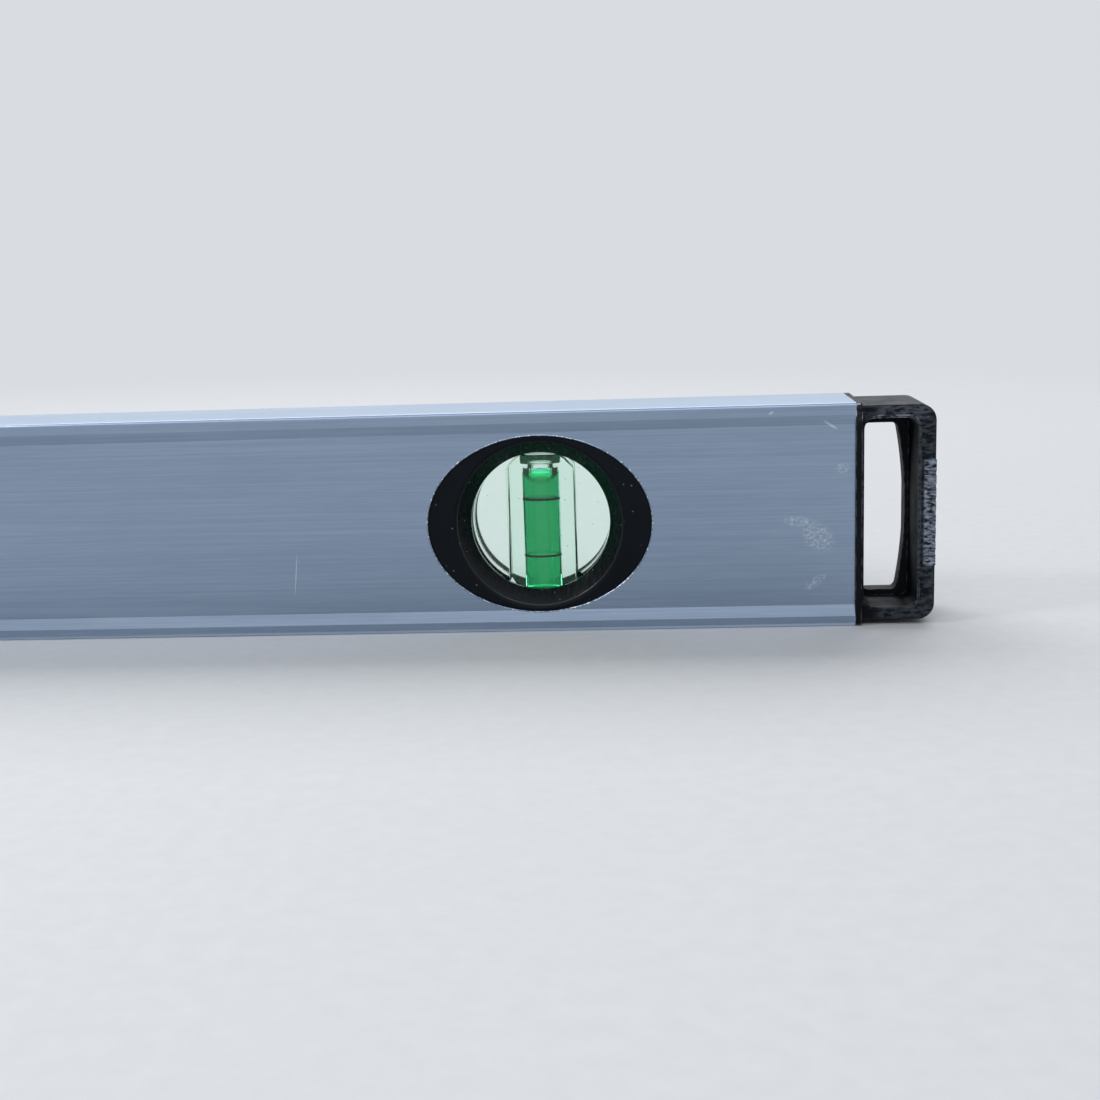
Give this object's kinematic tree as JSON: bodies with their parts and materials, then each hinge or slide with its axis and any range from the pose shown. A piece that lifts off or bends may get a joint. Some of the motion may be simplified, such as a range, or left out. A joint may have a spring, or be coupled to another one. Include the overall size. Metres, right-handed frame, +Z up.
{
  "type": "magnetic spirit level",
  "caption": "Box-section aluminium spirit level with round plumb and level vials in oval black inserts, magnets in its base and moulded end caps with hanging windows.",
  "frame": {"origin": "the middle of the base, the lower measuring face", "axes": "+X along the level towards the cap shown in the picture, -Y the front with that side's vial windows, +Z up"},
  "size_m": [0.6, 0.024, 0.05],
  "materials": {
    "brushed_aluminium": "brushed lengthwise, clear anodised",
    "cap_black": "moulded, worn grey on its edges",
    "insert_black": "smooth satin moulding",
    "clear_acrylic": "polished",
    "vial_liquid": "green liquid",
    "ring_black": "matt",
    "magnet_nickel": "nickel plated"
  },
  "bodies": {
    "root": {"profile": "brushed_aluminium", "end_cap_right": "cap_black", "end_cap_left": "cap_black", "plumb_right_front_bezel": "insert_black", "plumb_right_rear_bezel": "insert_black", "plumb_right_vial_block": "clear_acrylic", "plumb_right_liquid": "vial_liquid", "plumb_right_upper_ring": "ring_black", "plumb_right_lower_ring": "ring_black", "plumb_right_plug": "clear_acrylic", "level_front_bezel": "insert_black", "level_rear_bezel": "insert_black", "level_vial_block": "clear_acrylic", "level_liquid": "vial_liquid", "level_right_ring": "ring_black", "level_left_ring": "ring_black", "level_plug": "clear_acrylic", "plumb_left_front_bezel": "insert_black", "plumb_left_rear_bezel": "insert_black", "plumb_left_vial_block": "clear_acrylic", "plumb_left_liquid": "vial_liquid", "plumb_left_upper_ring": "ring_black", "plumb_left_lower_ring": "ring_black", "plumb_left_plug": "clear_acrylic", "magnet_1": "magnet_nickel", "magnet_2": "magnet_nickel", "magnet_3": "magnet_nickel", "magnet_4": "magnet_nickel"}
  },
  "joints": []
}
